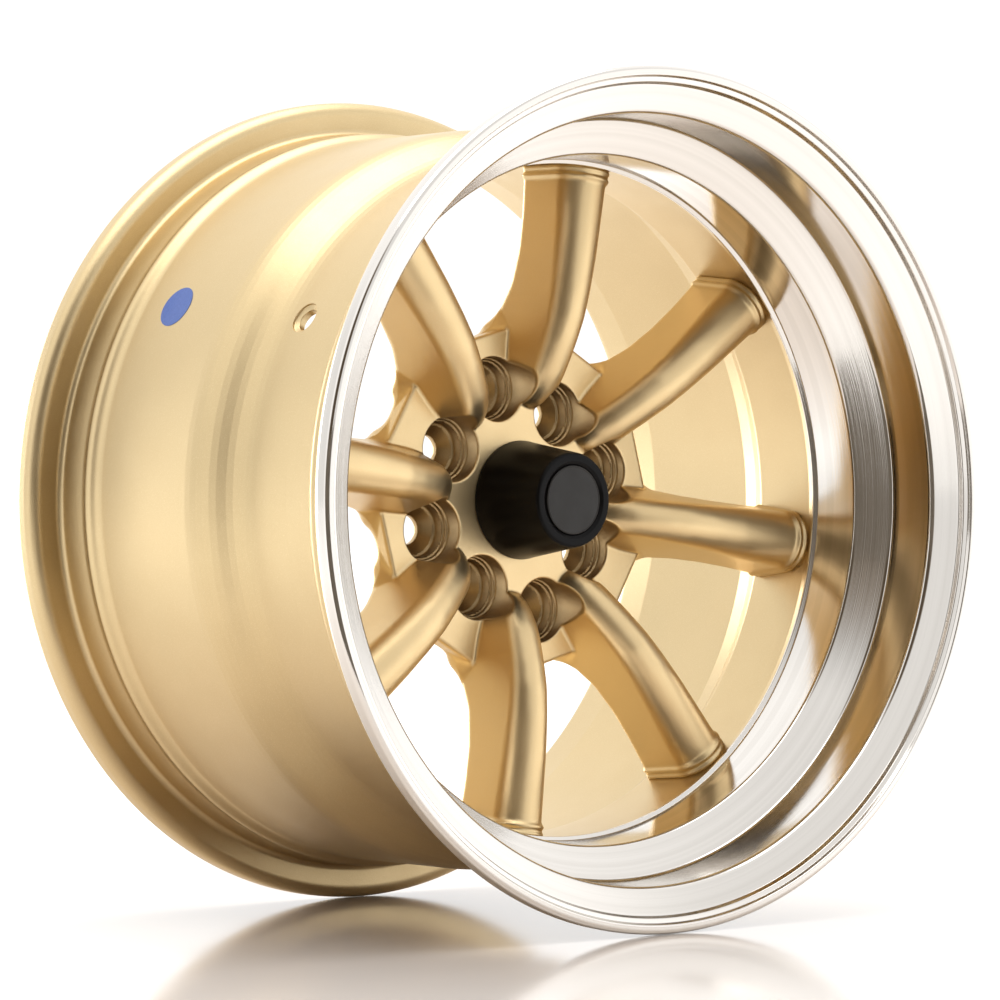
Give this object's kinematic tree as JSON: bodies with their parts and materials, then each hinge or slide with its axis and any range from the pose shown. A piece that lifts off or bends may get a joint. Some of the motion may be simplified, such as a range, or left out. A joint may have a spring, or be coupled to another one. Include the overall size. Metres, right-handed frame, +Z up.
{
  "type": "racing wheel rim",
  "caption": "Deep-dish car racing wheel rim with a machined stepped lip, tubular gold spokes, a dual bolt pattern hub and a tall black push-in centre cap.",
  "frame": {"origin": "on the wheel's axis, halfway across its overall width", "axes": "+Y along the wheel's axis towards the vehicle, so the outboard side faces -Y; +Z up; +X to the right when the outboard side is seen"},
  "size_m": [0.415, 0.254, 0.415],
  "materials": {
    "machined_lip": "diamond-turned bare aluminium under clear lacquer, bright, with fine concentric turning marks",
    "gold_paint": "satin champagne gold metallic paint over aluminium",
    "blue_label": "matt printed paper label",
    "black_cap": "satin black moulded plastic",
    "badge": "dark grey plain disc",
    "spring_steel": "bright spring wire"
  },
  "bodies": {
    "wheel": {"outer_lip": "machined_lip", "rim_barrel": "gold_paint", "hub_sector_1": "gold_paint", "hub_sector_2": "gold_paint", "hub_sector_3": "gold_paint", "hub_sector_4": "gold_paint", "hub_sector_5": "gold_paint", "hub_sector_6": "gold_paint", "hub_sector_7": "gold_paint", "hub_sector_8": "gold_paint", "spoke_1": "gold_paint", "spoke_2": "gold_paint", "spoke_3": "gold_paint", "spoke_4": "gold_paint", "spoke_5": "gold_paint", "spoke_6": "gold_paint", "spoke_7": "gold_paint", "spoke_8": "gold_paint", "balance_dot": "blue_label"},
    "cap": {"cap_shell": "black_cap", "cap_badge": "badge", "cap_spring_ring": "spring_steel"}
  },
  "joints": [
    {"name": "cap_pull", "type": "slide", "parent": "wheel", "child": "cap", "axis": [0, -1, 0], "range_m": [0, 0.14]}
  ]
}
